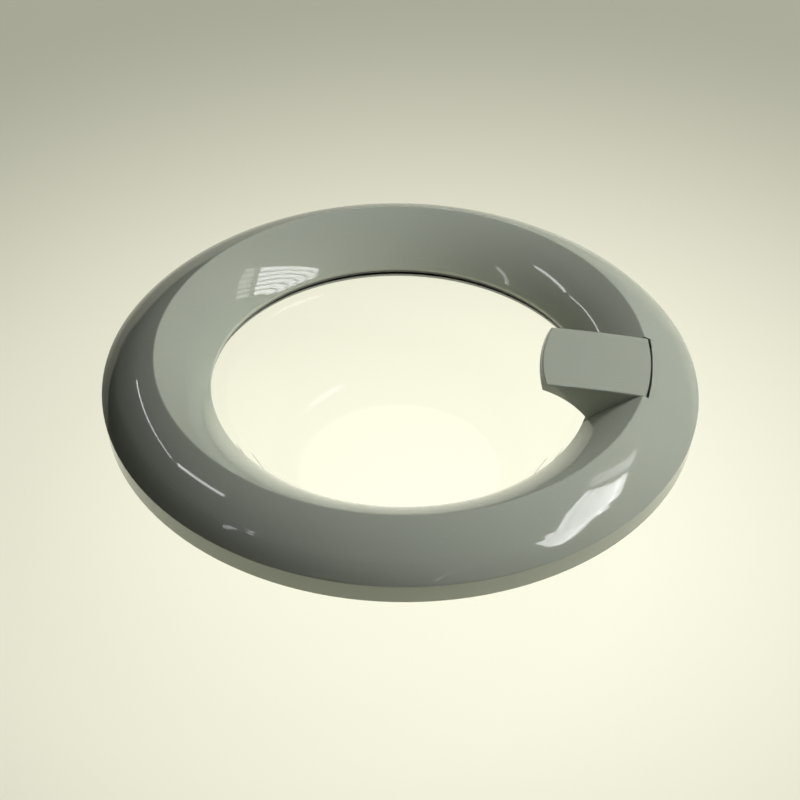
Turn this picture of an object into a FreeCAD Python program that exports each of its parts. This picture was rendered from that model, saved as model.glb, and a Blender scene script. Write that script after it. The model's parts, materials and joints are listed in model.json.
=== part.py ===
"""Front-loading washing machine door: a moulded ring, a glass bowl, a pull handle, a latch hook and a hinge.

The door lies face up. +Z is the door's outward axis, and +X points from that axis to the handle.
Every piece is drawn with z = 0 at the ring's rear rim and lifted by BOWL_DROP when it is written,
so the finished door stands with the flat of its glass bowl at z = 0. Sizes are in millimetres.
"""
import FreeCAD
import Part
import math
import os

Vector = FreeCAD.Vector
ORIGIN = Vector(0, 0, 0)
Y_AXIS = Vector(0, 1, 0)
Z_AXIS = Vector(0, 0, 1)

# Outer ring: hollow, with a sharp crest, a bowed slope on each side and a rounded lip over the glass
RING_BASE_RADIUS = 233.0
RING_EDGE_FLARE = 1.5
FLANGE_HEIGHT = 17.0
OUTER_SLOPE_WIDTH = 40.6
CREST_HEIGHT = 46.0
INNER_SLOPE_WIDTH = 42.9
SHOULDER_INSET = 12.5
SHOULDER_RISE = 12.3
LIP_HEIGHT = 13.0
LIP_THICKNESS = 3.0
RING_WALL = 3.0
SLOPE_LEAN = 1.3
EDGE_LEAN = 0.6
OUTER_BOW = 1.1
SHOULDER_BOW = 0.6
INNER_BOW = 2.5
CREST_ROUND = 1.6
EDGE_ROUND = 1.2
RIM_ROUND = 0.8
BOW_SHARE = 0.9
LIP_ROUND = 3.2

# Glass bowl and its seal
BOWL_DROP = 84.0
GLASS_THICKNESS = 5.0
GLASS_FLANGE_OVERLAP = 16.8
GLASS_MOUTH_INSET = 9.0
GLASS_WALL_RUN = 40.0
GLASS_NECK_ROUND = 9.0
GLASS_CORNER_ROUND = 28.0
GLASS_RIM_ROUND = 1.2
SEAL_HEIGHT = 2.5
SEAL_SETBACK = 0.6

# Rear ring: closes the hollow ring and clamps the glass
REAR_WALL = 2.5
REAR_SETBACK = 4.5
REAR_EDGE_CLEARANCE = 0.7
REAR_ROUND = 0.8
BEAD_OFFSET = 14.0
BEAD_WIDTH = 6.0
BEAD_HEIGHT = 1.6
BEAD_CLEARANCE = 2.0
GLASS_EDGE_CLEARANCE = 0.7
CLAMP_OVERLAP = 4.5

# Screws that hold the two rings together, and the bosses that take them
SCREW_CREST_OFFSET = 3.6
SCREWS_PER_SIDE = 5
FIRST_SCREW_ANGLE = 32.0
SCREW_SHANK_RADIUS = 1.9
SCREW_LENGTH = 16.0
SCREW_HEAD_RADIUS = 4.0
SCREW_HEAD_HEIGHT = 2.2
SCREW_CLEARANCE = 0.15
BOSS_WALL = 3.0
BOSS_HOLE_SPARE = 2.0

# Handle lever: a hollow grip with an arched underside, an upright end face and a barrel end about its pin
HANDLE_WIDTH = 72.0
HANDLE_REACH = 83.7
HANDLE_TIP_RISE = 2.6
HANDLE_TIP_THICKNESS = 4.6
HANDLE_TIP_RAKE = 2.3
HANDLE_TIP_PLAN_RADIUS = 139.0
HANDLE_TOP_BOW = 1.0
HANDLE_WALL = 2.6
HANDLE_EDGE_ROUND = 1.2
HANDLE_SEAM_OFFSET = 2.2
HANDLE_END_DROP = 1.2
HANDLE_LEDGE_RISE = 1.5
HANDLE_GAP = 0.6
SEAM_GAP = 0.5
SEAM_DIP_WIDTH = 8.0
SEAM_DIP_DROP = 0.3
SEAM_DIP_TILT = 19.0
HANDLE_FOOT_INSET = 1.8
HANDLE_FOOT_RISE = 0.2
GRIP_ARCH_RADIUS = 68.5
BARREL_FOOT_DROP = 9.5
TRIM_MARGIN = 8.0

# Handle pin, its clips and its return spring
HANDLE_PIN_INSET = 8.4
HANDLE_PIN_DEPTH = 12.5
HANDLE_PIN_RADIUS = 2.5
PIN_CLEARANCE = 0.05
PIN_BOSS_WALL = 3.0
PIN_BOSS_LENGTH = 7.5
POCKET_WALL = 3.0
POCKET_WALL_LENGTH = 30.0
POCKET_WALL_DROP = 9.5
CLIP_THICKNESS = 0.8
CLIP_WIDTH = 2.0
CLIP_GAP = 0.2
PIN_END = 0.6
CLIP_ROOM = 0.2
SPRING_CLEARANCE = 0.4
HANDLE_SPRING_WIRE = 1.4
HANDLE_SPRING_TURNS = 6
HANDLE_SPRING_PLACE = 14.0
SPRING_REST_INSET = 2.8
SPRING_STOP_THICKNESS = 2.5
SPRING_STOP_HEIGHT = 8.0

# Latch hook: a tail that the barrel's foot pushes, a blade, and a nose that catches behind the front
HOOK_PIN_OFFSET = 12.0
HOOK_PIN_STANDOFF = 4.0
HOOK_PIN_RADIUS = 2.0
HOOK_WIDTH = 10.0
HOOK_BOSS_WALL = 3.0
HOOK_TAIL_OVERLAP = 2.5
HOOK_TAIL_THICKNESS = 3.8
HOOK_TAIL_GAP = 0.8
HOOK_BLADE_INSIDE = 3.0
HOOK_BLADE_OUTSIDE = 5.0
HOOK_BLADE_LENGTH = 43.0
HOOK_NOSE_REACH = 7.0
HOOK_NOSE_HEIGHT = 11.5
HOOK_NOSE_LIP = 3.5
HOOK_ROUND = 1.2
HOOK_TRAVEL = 22.0
HOOK_SLOT_CLEARANCE = 1.2
HOOK_EAR_THICKNESS = 3.0
HOOK_EAR_WALL = 2.5
HOOK_PEG_RADIUS = 1.2
HOOK_PEG_DROP = 6.0
HOOK_SPRING_WIRE = 1.0
HOOK_SPRING_TURNS = 5
HOOK_SPRING_REACH = 12.0

# Hinge: a leaf on the door, a bracket for the cabinet front, and a headed pin in two flanged bushes
HINGE_AXIS_INSET = 14.0
HINGE_PIN_RADIUS = 2.5
BUSH_WALL = 1.25
KNUCKLE_WALL = 1.75
KNUCKLE_CLEARANCE = 0.5
KNUCKLE_PLATE_GAP = 1.0
LEAF_KNUCKLE_WIDTH = 26.0
BRACKET_KNUCKLE_WIDTH = 12.0
HINGE_PLATE_THICKNESS = 2.5
HINGE_PLATE_CLEARANCE = 2.5
HINGE_PLATE_ROUND = 5.0
LEAF_WIDTH = 50.0
BRACKET_WIDTH = 78.0
BUSH_FLANGE_THICKNESS = 1.0
BUSH_FLANGE_WALL = 1.2
HINGE_SIDE_CLEARANCE = 0.2
LEAF_HOLE_SPACING_X = 20.0
LEAF_HOLE_SPACING_Y = 34.0
BRACKET_HOLE_RADIUS = 2.75
BRACKET_HOLE_SPACING_X = 22.0
BRACKET_HOLE_SPACING_Y = 60.0
HINGE_HEAD_WALL = 1.7
HINGE_HEAD_HEIGHT = 1.5

# Heights, radii and places that follow from the sizes above
CREST_RADIUS = RING_BASE_RADIUS - OUTER_SLOPE_WIDTH
LIP_RADIUS = CREST_RADIUS - INNER_SLOPE_WIDTH
LIP_UNDERSIDE = LIP_HEIGHT - LIP_THICKNESS
GLASS_TOP = LIP_UNDERSIDE - SEAL_HEIGHT
GLASS_SEAT = GLASS_TOP - GLASS_THICKNESS
GLASS_MOUTH_RADIUS = LIP_RADIUS - GLASS_MOUTH_INSET
GLASS_FLOOR_RADIUS = GLASS_MOUTH_RADIUS - GLASS_WALL_RUN
GLASS_FLANGE_RADIUS = LIP_RADIUS + GLASS_FLANGE_OVERLAP
REAR_FACE = REAR_SETBACK + REAR_WALL
REAR_STEP_RADIUS = GLASS_FLANGE_RADIUS + GLASS_EDGE_CLEARANCE
SCREW_CIRCLE_RADIUS = CREST_RADIUS + SCREW_CREST_OFFSET
SEAM_RADIUS = CREST_RADIUS + HANDLE_SEAM_OFFSET
SEAM_HEIGHT = CREST_HEIGHT - HANDLE_END_DROP
HALF_HANDLE = HANDLE_WIDTH / 2
HALF_SLOT = HALF_HANDLE + HANDLE_GAP
POCKET_OUTSIDE = HALF_SLOT + POCKET_WALL
TIP_X = CREST_RADIUS - HANDLE_REACH
TIP_TOP = CREST_HEIGHT + HANDLE_TIP_RISE
TIP_UNDERSIDE = TIP_TOP - HANDLE_TIP_THICKNESS
SLOT_FLOOR = LIP_HEIGHT + HANDLE_FOOT_RISE
FOOT_X = LIP_RADIUS + HANDLE_FOOT_INSET
FOOT_HEIGHT = SLOT_FLOOR + HANDLE_GAP
PIN_X = CREST_RADIUS - HANDLE_PIN_INSET
PIN_HEIGHT = CREST_HEIGHT - HANDLE_PIN_DEPTH
BARREL_FOOT = PIN_HEIGHT - BARREL_FOOT_DROP
HOOK_X = PIN_X + HOOK_PIN_OFFSET
HOOK_HEIGHT = REAR_FACE + HOOK_PIN_STANDOFF
HOOK_BOSS_RADIUS = HOOK_PIN_RADIUS + HOOK_BOSS_WALL
HOOK_EAR_FACE = HOOK_WIDTH / 2 + (HOOK_SPRING_TURNS + 1) * HOOK_SPRING_WIRE + 2 * SPRING_CLEARANCE
KNUCKLE_RADIUS = HINGE_PIN_RADIUS + BUSH_WALL + KNUCKLE_WALL
HINGE_X = -(RING_BASE_RADIUS - HINGE_AXIS_INSET)
HINGE_HEIGHT = REAR_SETBACK - KNUCKLE_CLEARANCE - KNUCKLE_RADIUS
HINGE_PLATE_OUTER_X = HINGE_X + KNUCKLE_RADIUS + KNUCKLE_PLATE_GAP
HINGE_PLATE_INNER_X = -(REAR_STEP_RADIUS + RING_WALL + HINGE_PLATE_CLEARANCE)
HINGE_PLATE_X = (HINGE_PLATE_OUTER_X + HINGE_PLATE_INNER_X) / 2
BRACKET_KNUCKLE_FROM = LEAF_KNUCKLE_WIDTH / 2 + HINGE_SIDE_CLEARANCE + BUSH_FLANGE_THICKNESS
BRACKET_KNUCKLE_TO = BRACKET_KNUCKLE_FROM + BRACKET_KNUCKLE_WIDTH


def upright(a, b):
    """A point of the plane y = 0, from its x and z."""
    return Vector(a, 0, b)


def level(a, b):
    """A point of the plane z = 0, from its x and y."""
    return Vector(a, b, 0)


def rounded_face(corners, place=upright):
    """A flat face from (a, b, round) corners, with a tangent arc at each corner that has a round."""
    spots = []
    for i, (a, b, radius) in enumerate(corners):
        here = place(a, b)
        to_last = (place(*corners[i - 1][:2]) - here).normalize()
        to_next = (place(*corners[(i + 1) % len(corners)][:2]) - here).normalize()
        half = to_last.getAngle(to_next) / 2
        run = radius / math.tan(half)
        inward = (to_last + to_next).normalize()
        nearest = here + inward * (radius / math.sin(half) - radius)
        spots.append((here + to_last * run, nearest, here + to_next * run, radius))
    edges = []
    for i, (start, nearest, end, radius) in enumerate(spots):
        if radius > 0:
            edges.append(Part.Arc(start, nearest, end).toShape())
        edges.append(Part.LineSegment(end, spots[(i + 1) % len(spots)][0]).toShape())
    return Part.Face(Part.Wire(edges))


def bowed(start, end, bow):
    """The (x, z, round) corner that bows the line from start to end out to its left."""
    chord = upright(*end) - upright(*start)
    left = Vector(-chord.z, 0, chord.x).normalize()
    corner = upright(*start) + chord * 0.5 + left * (2 * bow)
    half = (upright(*start) - corner).getAngle(upright(*end) - corner) / 2
    return (corner.x, corner.z, BOW_SHARE * chord.Length / 2 * math.tan(half))


def turned(corners):
    """A solid turned about the door's axis."""
    return rounded_face(corners).revolve(ORIGIN, Z_AXIS, 360)


def slab(corners, y_from, y_to):
    """A side view made solid from y_from to y_to."""
    face = rounded_face(corners)
    face.translate(Vector(0, y_from, 0))
    return face.extrude(Vector(0, y_to - y_from, 0))


def plate(x_from, x_to, y_from, y_to, z_from, z_to, corner_round):
    """A flat plate with rounded corners."""
    corners = [(x_from, y_from), (x_to, y_from), (x_to, y_to), (x_from, y_to)]
    face = rounded_face([(x, y, corner_round) for x, y in corners], level)
    face.translate(Vector(0, 0, z_from))
    return face.extrude(Vector(0, 0, z_to - z_from))


def box(x_from, x_to, y_from, y_to, z_from, z_to):
    """A plain box from its limits."""
    return Part.makeBox(x_to - x_from, y_to - y_from, z_to - z_from, Vector(x_from, y_from, z_from))


def cross_rod(x, z, radius, y_from, y_to):
    """A round bar that runs along Y."""
    return Part.makeCylinder(radius, y_to - y_from, Vector(x, y_from, z), Y_AXIS)


def upright_rod(x, y, radius, z_from, z_to):
    """A round bar that runs along the door's axis."""
    return Part.makeCylinder(radius, z_to - z_from, Vector(x, y, z_from), Z_AXIS)


def on_both_sides(piece):
    """A piece and its mirror image in the plane y = 0."""
    return [piece, piece.mirror(ORIGIN, Y_AXIS)]


def frame_screw_places():
    """Where the two rings are screwed together: an even row on each side, clear of handle and hinge."""
    step = (180 - 2 * FIRST_SCREW_ANGLE) / (SCREWS_PER_SIDE - 1)
    angles = [math.radians(FIRST_SCREW_ANGLE + i * step) for i in range(SCREWS_PER_SIDE)]
    return [(SCREW_CIRCLE_RADIUS * math.cos(s * a), SCREW_CIRCLE_RADIUS * math.sin(s * a))
            for a in angles for s in (1, -1)]


def rectangle_places(x, spacing_x, spacing_y):
    """The four corners of a hole pattern about (x, 0)."""
    return [(x + i * spacing_x / 2, j * spacing_y / 2) for i in (1, -1) for j in (1, -1)]


def leaf_screw_places():
    """Where the hinge leaf is screwed to the door."""
    return rectangle_places(HINGE_PLATE_X, LEAF_HOLE_SPACING_X, LEAF_HOLE_SPACING_Y)


def screw(x, y, seat):
    """A pan-head screw that goes up from its seat."""
    head = upright_rod(x, y, SCREW_HEAD_RADIUS, seat - SCREW_HEAD_HEIGHT, seat)
    outer_edges = [edge for edge in head.Edges if edge.BoundBox.ZMax < seat - SCREW_HEAD_HEIGHT / 2]
    head = head.makeFillet(SCREW_HEAD_HEIGHT / 2, outer_edges)
    return head.fuse(upright_rod(x, y, SCREW_SHANK_RADIUS, seat, seat + SCREW_LENGTH)).removeSplitter()


def ring_slope(depth):
    """Lip, crest, shoulder and edge of the ring's skin, as (x, z), at a depth below its outer surface."""
    lip = (LIP_RADIUS + SLOPE_LEAN * depth, LIP_HEIGHT - LIP_THICKNESS * depth / RING_WALL)
    crest = (CREST_RADIUS, CREST_HEIGHT - SLOPE_LEAN * depth)
    edge = (RING_BASE_RADIUS + RING_EDGE_FLARE - depth, FLANGE_HEIGHT - EDGE_LEAN * depth)
    fall = upright(OUTER_SLOPE_WIDTH + RING_EDGE_FLARE, FLANGE_HEIGHT - CREST_HEIGHT).normalize()
    shoulder = (RING_BASE_RADIUS + RING_EDGE_FLARE - SHOULDER_INSET + fall.z * depth,
                FLANGE_HEIGHT + SHOULDER_RISE - fall.x * depth)
    return lip, crest, shoulder, edge


def ring_skin(depth, lip_round):
    """Corners of the ring's skin at that depth, from the lip over the crest to the rear rim."""
    lip, crest, shoulder, edge = ring_slope(depth)
    return [
        (*lip, lip_round),
        bowed(lip, crest, INNER_BOW),
        (*crest, CREST_ROUND),
        bowed(crest, shoulder, OUTER_BOW),
        (*shoulder, 0),
        bowed(shoulder, edge, SHOULDER_BOW),
        (*edge, EDGE_ROUND),
    ]


def barrel(grow, half_width):
    """The handle's barrel end: turned about the handle pin, and as far out everywhere as the seam's top."""
    def reach(y):
        return math.hypot(math.sqrt(SEAM_RADIUS**2 - y**2) - PIN_X, SEAM_HEIGHT - PIN_HEIGHT) + grow

    side = PIN_X + reach(HALF_HANDLE)
    near, far = [Vector(side, y, PIN_HEIGHT) for y in (-half_width, half_width)]
    axis_near, axis_far = [Vector(PIN_X, y, PIN_HEIGHT) for y in (-half_width, half_width)]
    bulge = Part.Arc(near, Vector(PIN_X + reach(0), 0, PIN_HEIGHT), far).toShape()
    ends = Part.makePolygon([far, axis_far, axis_near, near]).Edges
    return Part.Face(Part.Wire([bulge, *ends])).revolve(axis_near, Y_AXIS, 360)


def barrel_reach():
    """How far the barrel stands out from the handle pin at the middle of the handle."""
    return math.hypot(SEAM_RADIUS - PIN_X, SEAM_HEIGHT - PIN_HEIGHT)


def seam_dip():
    """The shallow run-in that leads the ring's outer slope down to the seam."""
    top = CREST_HEIGHT + TRIM_MARGIN
    inner = SEAM_RADIUS - TRIM_MARGIN
    outer = SEAM_RADIUS + SEAM_DIP_WIDTH
    fall = math.tan(math.radians(SEAM_DIP_TILT))
    low = SEAM_HEIGHT - SEAM_DIP_DROP
    ring = turned([
        (inner, low + TRIM_MARGIN * fall, 0),
        (outer, low - SEAM_DIP_WIDTH * fall, 0),
        (outer, top, 0),
        (inner, top, 0),
    ])
    return ring.common(box(PIN_X, outer, -HALF_SLOT, HALF_SLOT, 0, top))


def outer_ring():
    """The visible ring, with the walls of the handle pocket, the screw bosses and the handle's slot."""
    rim = (RING_BASE_RADIUS, 0, RIM_ROUND)
    inner_rim = (RING_BASE_RADIUS - RING_WALL, 0, 0)
    under_lip = (LIP_RADIUS, LIP_UNDERSIDE, 0)
    lining = ring_skin(RING_WALL, 0)
    ring = turned([under_lip, *ring_skin(0, LIP_ROUND), rim, inner_rim, *reversed(lining)])

    middle = ring_skin(RING_WALL / 2, 0)
    inside = turned([*middle, (middle[-1][0], REAR_FACE, 0), (middle[0][0], REAR_FACE, 0)])
    bosses = [
        upright_rod(x, y, SCREW_SHANK_RADIUS + SCREW_CLEARANCE + BOSS_WALL, REAR_FACE, CREST_HEIGHT)
        for x, y in frame_screw_places() + leaf_screw_places()
    ]
    pocket_wall = box(PIN_X - POCKET_WALL_LENGTH, PIN_X + POCKET_WALL_LENGTH / 2, HALF_SLOT, POCKET_OUTSIDE,
                      PIN_HEIGHT - POCKET_WALL_DROP, CREST_HEIGHT)
    added = [piece.common(inside) for piece in bosses + on_both_sides(pocket_wall)]
    ring = ring.fuse(added)

    slot = box(LIP_RADIUS - TRIM_MARGIN, PIN_X, -HALF_SLOT, HALF_SLOT, SLOT_FLOOR, TIP_TOP + TRIM_MARGIN)
    holes = [
        upright_rod(x, y, SCREW_SHANK_RADIUS + SCREW_CLEARANCE, REAR_FACE,
                    REAR_SETBACK + SCREW_LENGTH + BOSS_HOLE_SPARE)
        for x, y in frame_screw_places()
    ]
    leaf_holes = [
        upright_rod(x, y, SCREW_SHANK_RADIUS + SCREW_CLEARANCE, REAR_FACE,
                    REAR_SETBACK + SCREW_LENGTH + BOSS_HOLE_SPARE - HINGE_PLATE_THICKNESS)
        for x, y in leaf_screw_places()
    ]
    pin_hole = cross_rod(PIN_X, PIN_HEIGHT, HANDLE_PIN_RADIUS + PIN_CLEARANCE,
                         -POCKET_OUTSIDE, POCKET_OUTSIDE)
    clip_rooms = on_both_sides(cross_rod(
        PIN_X, PIN_HEIGHT, HANDLE_PIN_RADIUS + CLIP_WIDTH + CLIP_ROOM,
        POCKET_OUTSIDE, POCKET_OUTSIDE + CLIP_GAP + CLIP_THICKNESS + PIN_END + CLIP_ROOM))
    cuts = [slot, barrel(SEAM_GAP, HALF_SLOT), seam_dip(), pin_hole, *clip_rooms, *holes, *leaf_holes]
    return ring.cut(cuts).removeSplitter()


def glass_bowl():
    """The pressed glass bowl: a clamped flange, a sloping wall and a flat bottom."""
    mouth = (GLASS_MOUTH_RADIUS, GLASS_TOP)
    floor = (GLASS_FLOOR_RADIUS, GLASS_THICKNESS - BOWL_DROP)
    wall = (upright(*floor) - upright(*mouth)).normalize()
    outward = Vector(-wall.z, 0, wall.x) * GLASS_THICKNESS
    behind = upright(*mouth) + outward

    def outside_at(height):
        return behind.x + wall.x * (height - behind.z) / wall.z

    return turned([
        (0, floor[1], 0),
        (*floor, GLASS_CORNER_ROUND),
        (*mouth, GLASS_NECK_ROUND + GLASS_THICKNESS),
        (GLASS_FLANGE_RADIUS, GLASS_TOP, GLASS_RIM_ROUND),
        (GLASS_FLANGE_RADIUS, GLASS_SEAT, GLASS_RIM_ROUND),
        (outside_at(GLASS_SEAT), GLASS_SEAT, GLASS_NECK_ROUND),
        (outside_at(-BOWL_DROP), -BOWL_DROP, GLASS_CORNER_ROUND + GLASS_THICKNESS),
        (0, -BOWL_DROP, 0),
    ])


def glass_seal():
    """The rubber ring between the lip's underside and the glass."""
    inner = LIP_RADIUS + SEAL_SETBACK
    outer = ring_slope(RING_WALL)[0][0]
    return turned([
        (inner, GLASS_TOP, 0),
        (outer, GLASS_TOP, 0),
        (outer, LIP_UNDERSIDE, 0),
        (inner, LIP_UNDERSIDE, 0),
    ])


def hook_slot():
    """The opening that the hook's boss and blade need in the rear ring over the hook's travel."""
    swing = math.radians(HOOK_TRAVEL)
    drop = HOOK_HEIGHT - REAR_SETBACK
    out = (HOOK_BLADE_OUTSIDE + drop * math.sin(swing)) / math.cos(swing) + HOOK_SLOT_CLEARANCE
    half = HOOK_WIDTH / 2 + HOOK_SLOT_CLEARANCE
    inner = HOOK_BOSS_RADIUS + HOOK_SLOT_CLEARANCE
    return box(HOOK_X - inner, HOOK_X + out, -half, half, GLASS_SEAT, HOOK_HEIGHT)


def stiffening_bead():
    """The half-round bead on the rear ring, which stops short of the hinge leaf and of the hook's slot."""
    middle = REAR_STEP_RADIUS + BEAD_OFFSET
    half = BEAD_WIDTH / 2
    bead = turned([
        (middle - half, REAR_FACE, 0),
        (middle - half, REAR_SETBACK, 0),
        (middle - half / 2, REAR_SETBACK - BEAD_HEIGHT, BEAD_HEIGHT),
        (middle + half / 2, REAR_SETBACK - BEAD_HEIGHT, BEAD_HEIGHT),
        (middle + half, REAR_SETBACK, 0),
        (middle + half, REAR_FACE, 0),
    ])
    leaf_side = LEAF_WIDTH / 2 + BEAD_CLEARANCE
    hook_side = HOOK_WIDTH / 2 + HOOK_SLOT_CLEARANCE + BEAD_CLEARANCE
    return bead.cut([
        box(-RING_BASE_RADIUS, 0, -leaf_side, leaf_side, -REAR_FACE, REAR_SETBACK),
        box(0, RING_BASE_RADIUS, -hook_side, hook_side, -REAR_FACE, REAR_SETBACK),
    ])


def rear_ring():
    """The rear moulding: a band with a bead, a step, the band that clamps the glass, and the hook's ears."""
    outer = RING_BASE_RADIUS - RING_WALL - REAR_EDGE_CLEARANCE
    clamp = LIP_RADIUS + CLAMP_OVERLAP
    ring = turned([
        (outer, REAR_SETBACK, REAR_ROUND),
        (outer, REAR_FACE, 0),
        (REAR_STEP_RADIUS, REAR_FACE, 0),
        (REAR_STEP_RADIUS, GLASS_SEAT, 0),
        (clamp, GLASS_SEAT, 0),
        (clamp, GLASS_SEAT - REAR_WALL, REAR_ROUND),
        (REAR_STEP_RADIUS + RING_WALL, GLASS_SEAT - REAR_WALL, REAR_ROUND),
        (REAR_STEP_RADIUS + RING_WALL, REAR_SETBACK, 0),
    ])
    ear_half = HOOK_PIN_RADIUS + PIN_CLEARANCE + HOOK_EAR_WALL
    ear = slab([
        (HOOK_X - ear_half, REAR_FACE, 0),
        (HOOK_X + ear_half, REAR_FACE, 0),
        (HOOK_X + ear_half, HOOK_HEIGHT + ear_half, HOOK_EAR_WALL),
        (HOOK_X - ear_half, HOOK_HEIGHT + ear_half, HOOK_EAR_WALL),
    ], HOOK_EAR_FACE, HOOK_EAR_FACE + HOOK_EAR_THICKNESS)
    leg_x = handle_spring_leg_x() - HANDLE_SPRING_WIRE / 2 - SPRING_CLEARANCE
    leg_y = HANDLE_SPRING_PLACE + HANDLE_SPRING_TURNS * HANDLE_SPRING_WIRE
    stop = box(leg_x - SPRING_STOP_THICKNESS, leg_x,
               leg_y - 2 * HANDLE_SPRING_WIRE, leg_y + HANDLE_SPRING_WIRE,
               REAR_FACE, REAR_FACE + SPRING_STOP_HEIGHT)
    ring = ring.fuse([*on_both_sides(ear), stop, stiffening_bead()])
    reach = HOOK_EAR_FACE + HOOK_EAR_THICKNESS
    cuts = [hook_slot(), cross_rod(HOOK_X, HOOK_HEIGHT, HOOK_PIN_RADIUS + PIN_CLEARANCE, -reach, reach)]
    for x, y in frame_screw_places() + leaf_screw_places():
        cuts.append(upright_rod(x, y, SCREW_SHANK_RADIUS + SCREW_CLEARANCE, REAR_SETBACK, REAR_FACE))
    return ring.cut(cuts).removeSplitter()


def grip_arch():
    """Centre of the round underside that runs from the tip's lower edge to the foot."""
    tip = upright(TIP_X, TIP_UNDERSIDE)
    foot = upright(FOOT_X, FOOT_HEIGHT)
    chord = foot - tip
    below = Vector(chord.z, 0, -chord.x).normalize()
    return tip + chord * 0.5 + below * math.sqrt(GRIP_ARCH_RADIUS**2 - chord.Length**2 / 4)


def handle_lever():
    """The pull lever: grip, cheeks and end as one hollow moulding, open at its underside."""
    start = TIP_X - TRIM_MARGIN
    end = SEAM_RADIUS + TRIM_MARGIN
    arch = grip_arch()

    def side_view(lower):
        top_start = (start, TIP_TOP - lower)
        top_end = (SEAM_RADIUS, SEAM_HEIGHT - lower)
        return [
            (start, FOOT_HEIGHT, 0),
            (*top_start, 0),
            bowed(top_start, top_end, HANDLE_TOP_BOW),
            (*top_end, 0),
            (end, SEAM_HEIGHT - lower, 0),
            (end, BARREL_FOOT - lower, 0),
            (PIN_X, BARREL_FOOT - lower, 0),
            (FOOT_X, FOOT_HEIGHT - lower, 0),
        ]

    def shaped(body, grow, half_width):
        top = TIP_TOP + TRIM_MARGIN
        ledge = PIN_HEIGHT + HANDLE_LEDGE_RISE + grow
        before_pin = box(start, PIN_X, -half_width, half_width, 0, top)
        below_ledge = box(PIN_X, end, -half_width, half_width, 0, ledge).common(barrel(grow, half_width))
        above_ledge = box(PIN_X, end, -half_width, half_width, ledge, top)
        upright_end = above_ledge.common(upright_rod(0, 0, SEAM_RADIUS + grow, ledge, top))
        bore = cross_rod(arch.x, arch.z, GRIP_ARCH_RADIUS - grow, -HANDLE_WIDTH, HANDLE_WIDTH)
        return body.cut(bore).common(before_pin.fuse([below_ledge, upright_end]))

    plan_x = TIP_X + HANDLE_TIP_RAKE + HANDLE_TIP_PLAN_RADIUS
    rake = HANDLE_TIP_RAKE / HANDLE_TIP_THICKNESS
    tip_form = Part.makeCone(
        HANDLE_TIP_PLAN_RADIUS + rake * TIP_TOP, HANDLE_TIP_PLAN_RADIUS - rake * TRIM_MARGIN,
        TIP_TOP + TRIM_MARGIN, Vector(plan_x, 0, 0), Z_AXIS)
    block = slab(side_view(0), -HALF_HANDLE, HALF_HANDLE).common(tip_form)
    top_edges = [
        edge for edge in block.Edges
        if min(v.Z for v in edge.Vertexes) > CREST_HEIGHT - HANDLE_WALL
        and min(v.X for v in edge.Vertexes) < PIN_X
    ]
    block = block.makeFillet(HANDLE_EDGE_ROUND, top_edges)
    cavity = slab(side_view(HANDLE_WALL), HANDLE_WALL - HALF_HANDLE, HALF_HANDLE - HANDLE_WALL)
    lever = shaped(block, 0, HALF_HANDLE).cut(shaped(cavity, -HANDLE_WALL, HALF_HANDLE - HANDLE_WALL))
    boss_from = HALF_HANDLE - HANDLE_WALL - PIN_BOSS_LENGTH
    bore_radius = HANDLE_PIN_RADIUS + PIN_CLEARANCE
    boss = cross_rod(PIN_X, PIN_HEIGHT, bore_radius + PIN_BOSS_WALL, boss_from, HALF_HANDLE - HANDLE_WALL / 2)
    lever = lever.fuse(on_both_sides(boss))
    return lever.cut(cross_rod(PIN_X, PIN_HEIGHT, bore_radius, -HALF_HANDLE, HALF_HANDLE)).removeSplitter()


def clip_pair(x, z, radius, face):
    """Two spring clips on a cross pin, one outside each face."""
    clip = cross_rod(x, z, radius + CLIP_WIDTH, face + CLIP_GAP, face + CLIP_GAP + CLIP_THICKNESS)
    return on_both_sides(clip.cut(cross_rod(x, z, radius, face, face + CLIP_GAP + CLIP_THICKNESS)))


def pin_with_ends(x, z, radius, face):
    """A cross pin that reaches past its clips at both ends."""
    end = face + CLIP_GAP + CLIP_THICKNESS + PIN_END
    return cross_rod(x, z, radius, -end, end)


def wire_leg(start, end, wire):
    """A straight round leg of a spring."""
    return Part.makeCylinder(wire / 2, (end - start).Length, start, end - start)


def torsion_spring(x, z, inner_radius, wire, turns, y_from, legs):
    """A close-wound torsion spring on a cross pin, with a straight leg for each (start, end) pair."""
    y_to = y_from + turns * wire
    inner = x + inner_radius
    middle = inner + wire / 2
    edges = []
    for i in range(turns):
        y = y_from + i * wire
        crown = Vector(inner + wire, y + wire / 2, z)
        edges.append(Part.Arc(Vector(middle, y, z), crown, Vector(middle, y + wire, z)).toShape())
    sides = [(middle, y_to), (inner, y_to), (inner, y_from), (middle, y_from)]
    edges.extend(Part.makePolygon([Vector(side_x, side_y, z) for side_x, side_y in sides]).Edges)
    coil = Part.Face(Part.Wire(edges)).revolve(Vector(x, 0, z), Y_AXIS, 360)
    return coil.fuse([wire_leg(start, end, wire) for start, end in legs]).removeSplitter()


def handle_spring_radius():
    """Radius of the handle spring's wire about the handle pin."""
    return HANDLE_PIN_RADIUS + SPRING_CLEARANCE + HANDLE_SPRING_WIRE / 2


def handle_spring_leg_x():
    """X of the leg that goes down from the handle spring to its stop."""
    return PIN_X + handle_spring_radius()


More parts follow.
